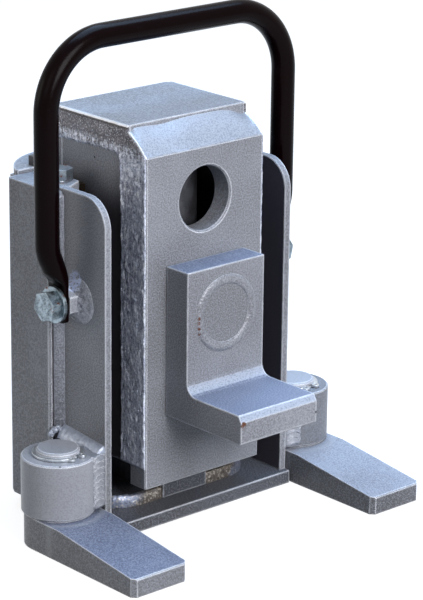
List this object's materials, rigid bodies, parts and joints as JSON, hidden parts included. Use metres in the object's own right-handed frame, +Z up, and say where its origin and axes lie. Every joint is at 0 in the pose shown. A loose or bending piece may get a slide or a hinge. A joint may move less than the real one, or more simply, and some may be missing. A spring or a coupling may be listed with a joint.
{
  "type": "machine jack",
  "caption": "Hydraulic jack with a box casing that slides up between columns and lifts on its head or on a low claw; swivel feet, carrying handle and a lever pump behind.",
  "frame": {"origin": "on the ground, below the axis of the hydraulic ram", "axes": "+X to the right as seen from the claw's side, +Y from the claw to the pump, +Z up"},
  "size_m": [0.2566, 0.2623, 0.3343],
  "materials": {
    "grey_paint": "metallic silver-grey enamel, slightly rough",
    "bronze_weld": "weld bead with worn grey paint over a bronze tint",
    "bronze": "machined bronze",
    "zinc": "bright zinc plating",
    "dark_steel": "dark turned steel",
    "bright_steel": "ground steel",
    "chrome_rod": "hard chrome, polished",
    "rubber_black": "black sealing rubber",
    "plastic_dark": "dark matt plastic",
    "black_paint": "black enamel",
    "handle_black": "glossy black enamel"
  },
  "bodies": {
    "frame": {"base_plate": "grey_paint", "foot_plate": "grey_paint", "locating_block": "grey_paint", "left_side_plate": "grey_paint", "right_side_plate": "grey_paint", "left_column": "grey_paint", "right_column": "grey_paint", "back_plate": "grey_paint", "left_barrel": "grey_paint", "right_barrel": "grey_paint", "frame_welds": "grey_paint", "base_welds": "bronze_weld", "guide_strips": "bronze", "handle_nuts": "grey_paint", "handle_bolts": "zinc", "handle_washers": "zinc", "hydraulic_cylinder": "dark_steel", "cylinder_head": "dark_steel", "wiper_ring": "rubber_black", "pressure_pipe": "dark_steel", "reservoir": "grey_paint", "reservoir_lid": "grey_paint", "breather": "plastic_dark", "column_plug": "zinc", "pump_block": "grey_paint", "plunger_gland": "bronze", "check_balls": "bright_steel", "valve_plugs": "dark_steel", "oil_pipes": "grey_paint", "lever_bracket": "grey_paint", "lever_pivot_pin": "bright_steel"},
    "casing": {"front_plate": "grey_paint", "casing_left_wall": "grey_paint", "casing_right_wall": "grey_paint", "casing_rear_wall": "grey_paint", "head_block": "grey_paint", "head_weld": "grey_paint", "casing_welds": "grey_paint", "ram": "chrome_rod", "piston": "dark_steel", "piston_seal": "rubber_black"},
    "claw": {"lifting_claw": "grey_paint", "claw_peg": "grey_paint", "peg_weld": "grey_paint"},
    "left_swivel": {"left_foot": "grey_paint", "left_pivot_pin": "grey_paint", "left_retaining_ring": "zinc"},
    "right_swivel": {"right_foot": "grey_paint", "right_pivot_pin": "grey_paint", "right_retaining_ring": "zinc"},
    "handle": {"carry_handle": "handle_black"},
    "lever": {"lever_socket": "black_paint"},
    "plunger": {"pump_plunger": "chrome_rod", "plunger_pin": "bright_steel"},
    "release": {"release_valve": "zinc"}
  },
  "joints": [
    {"name": "casing_lift", "type": "slide", "parent": "frame", "child": "casing", "axis": [0, 0, 1], "range_m": [0, 0.125]},
    {"name": "claw_slide", "type": "slide", "parent": "casing", "child": "claw", "axis": [0, -1, 0], "range_m": [0, 0.03]},
    {"name": "left_foot_swing", "type": "hinge", "parent": "frame", "child": "left_swivel", "pos_m": [-0.10415, -0.0286, 0], "axis": [0, 0, -1], "range_deg": [-3, 145]},
    {"name": "right_foot_swing", "type": "hinge", "parent": "frame", "child": "right_swivel", "pos_m": [0.10415, -0.0286, 0], "axis": [0, 0, 1], "range_deg": [-3, 145]},
    {"name": "handle_swing", "type": "hinge", "parent": "frame", "child": "handle", "pos_m": [0, -0.0155, 0.1565], "axis": [-1, 0, 0], "range_deg": [-12, 88]},
    {"name": "lever_swing", "type": "hinge", "parent": "frame", "child": "lever", "pos_m": [0, 0.0635, 0.084], "axis": [-1, 0, 0], "range_deg": [0, 45]},
    {"name": "plunger_slide", "type": "slide", "parent": "frame", "child": "plunger", "axis": [0, 0, -1], "range_m": [0, 0.0192]},
    {"name": "release_valve_turn", "type": "hinge", "parent": "frame", "child": "release", "pos_m": [0.026, 0.0975, 0.04], "axis": [0, 1, 0], "range_deg": [-540, 0]}
  ],
  "couplings": [
    {"joint": "handle_swing", "follows": "casing_lift", "rad_per_m": 11.9},
    {"joint": "plunger_slide", "follows": "lever_swing", "m_per_rad": 0.02426}
  ]
}
